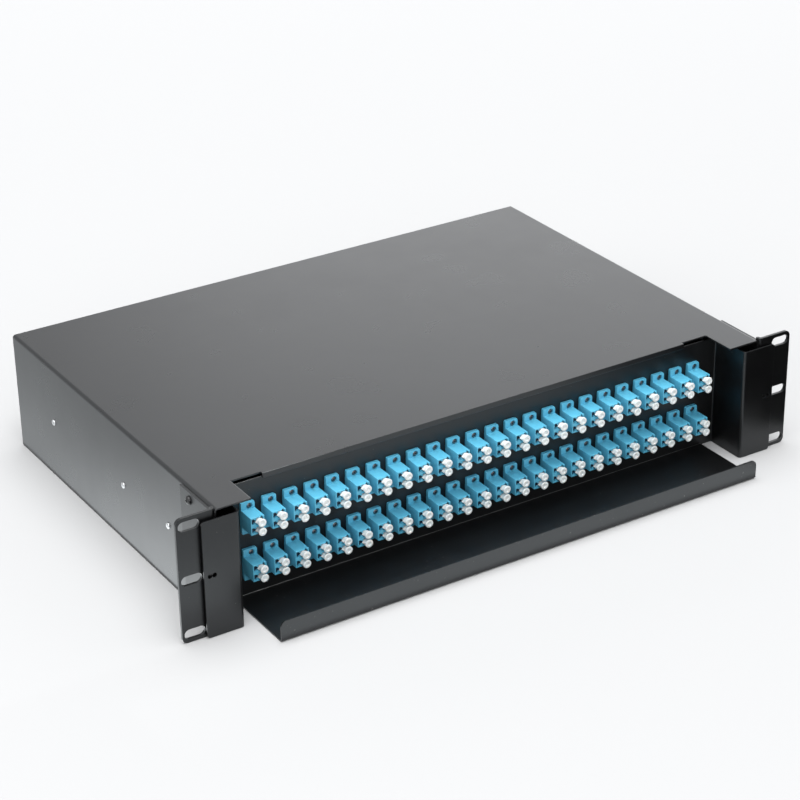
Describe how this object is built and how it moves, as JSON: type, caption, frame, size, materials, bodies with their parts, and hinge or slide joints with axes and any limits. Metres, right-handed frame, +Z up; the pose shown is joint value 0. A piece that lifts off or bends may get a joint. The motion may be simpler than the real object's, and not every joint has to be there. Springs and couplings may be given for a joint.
{
  "type": "sliding fibre patch drawer",
  "caption": "Rack-mounted fibre patch drawer: folded black steel housing with ears, a sliding drawer on ball slides, blue duplex adapters with white dust caps and a front cable tray.",
  "frame": {"origin": "centre of the rack ears' slot pattern, on the ears' front face", "axes": "+X to the right seen from the front, +Y to the rear of the rack, +Z up"},
  "size_m": [0.4826, 0.354, 0.0882],
  "materials": {
    "body_paint": "fine-textured satin powder coat",
    "front_paint": "fine-textured satin powder coat",
    "black_steel": "black oxide",
    "bright_steel": "nickel plated",
    "slide_zinc": "zinc plated",
    "cage_steel": "rolled",
    "lever_plastic": "moulded",
    "black_nylon": "moulded",
    "seal_rubber": "soft",
    "adapter_plastic": "moulded, slightly glossy",
    "cap_plastic": "moulded",
    "tray_plastic": "moulded",
    "clear_plastic": "clear",
    "holder_rubber": "soft"
  },
  "bodies": {
    "housing": {"housing_wrap": "body_paint", "base_pan": "body_paint", "rack_ear_left": "front_paint", "rack_ear_right": "front_paint", "ear_screws": "black_steel", "slide_outer_left": "slide_zinc", "slide_outer_right": "slide_zinc", "slide_rivets": "bright_steel", "gland_bodies": "black_nylon", "gland_lock_nuts": "black_nylon", "gland_seals": "seal_rubber", "gland_cap_nuts": "black_nylon"},
    "drawer": {"drawer_base": "body_paint", "front_panel": "front_paint", "cable_tray": "front_paint", "adapters_upper": "adapter_plastic", "adapters_lower": "adapter_plastic", "dust_caps_upper": "cap_plastic", "dust_caps_lower": "cap_plastic", "slide_inner_left": "slide_zinc", "slide_inner_right": "slide_zinc", "lever_pivots": "bright_steel", "drawer_rivets": "bright_steel", "splice_tray_left_lower": "tray_plastic", "splice_tray_left_upper": "tray_plastic", "splice_tray_right_lower": "tray_plastic", "splice_tray_right_upper": "tray_plastic", "splice_lid_left": "clear_plastic", "splice_lid_right": "clear_plastic", "splice_holders": "holder_rubber", "hold_down_studs": "bright_steel", "hold_down_plates": "bright_steel", "wing_nuts": "bright_steel", "fibre_spools": "tray_plastic", "tie_mounts": "black_nylon"},
    "middle_left": {"slide_middle_left": "slide_zinc"},
    "outer_cage_left": {"ball_cage_outer_left": "cage_steel"},
    "inner_cage_left": {"ball_cage_inner_left": "cage_steel"},
    "lever_left": {"release_lever_left": "lever_plastic"},
    "middle_right": {"slide_middle_right": "slide_zinc"},
    "outer_cage_right": {"ball_cage_outer_right": "cage_steel"},
    "inner_cage_right": {"ball_cage_inner_right": "cage_steel"},
    "lever_right": {"release_lever_right": "lever_plastic"}
  },
  "joints": [
    {"name": "drawer_slide", "type": "slide", "parent": "housing", "child": "drawer", "axis": [0, -1, 0], "range_m": [0, 0.25]},
    {"name": "middle_slide_left", "type": "slide", "parent": "housing", "child": "middle_left", "axis": [0, -1, 0], "range_m": [0, 0.125]},
    {"name": "outer_cage_slide_left", "type": "slide", "parent": "housing", "child": "outer_cage_left", "axis": [0, -1, 0], "range_m": [0, 0.0625]},
    {"name": "inner_cage_slide_left", "type": "slide", "parent": "housing", "child": "inner_cage_left", "axis": [0, -1, 0], "range_m": [0, 0.1875]},
    {"name": "lever_hinge_left", "type": "hinge", "parent": "drawer", "child": "lever_left", "pos_m": [-0.203, 0.068, 0], "axis": [1, 0, 0], "range_deg": [-6, 6], "stiffness_Nm_per_rad": 0.05},
    {"name": "middle_slide_right", "type": "slide", "parent": "housing", "child": "middle_right", "axis": [0, -1, 0], "range_m": [0, 0.125]},
    {"name": "outer_cage_slide_right", "type": "slide", "parent": "housing", "child": "outer_cage_right", "axis": [0, -1, 0], "range_m": [0, 0.0625]},
    {"name": "inner_cage_slide_right", "type": "slide", "parent": "housing", "child": "inner_cage_right", "axis": [0, -1, 0], "range_m": [0, 0.1875]},
    {"name": "lever_hinge_right", "type": "hinge", "parent": "drawer", "child": "lever_right", "pos_m": [0.203, 0.068, 0], "axis": [1, 0, 0], "range_deg": [-6, 6], "stiffness_Nm_per_rad": 0.05}
  ],
  "couplings": [
    {"joint": "middle_slide_left", "follows": "drawer_slide", "ratio": 0.5},
    {"joint": "outer_cage_slide_left", "follows": "drawer_slide", "ratio": 0.25},
    {"joint": "inner_cage_slide_left", "follows": "drawer_slide", "ratio": 0.75},
    {"joint": "middle_slide_right", "follows": "drawer_slide", "ratio": 0.5},
    {"joint": "outer_cage_slide_right", "follows": "drawer_slide", "ratio": 0.25},
    {"joint": "inner_cage_slide_right", "follows": "drawer_slide", "ratio": 0.75}
  ]
}
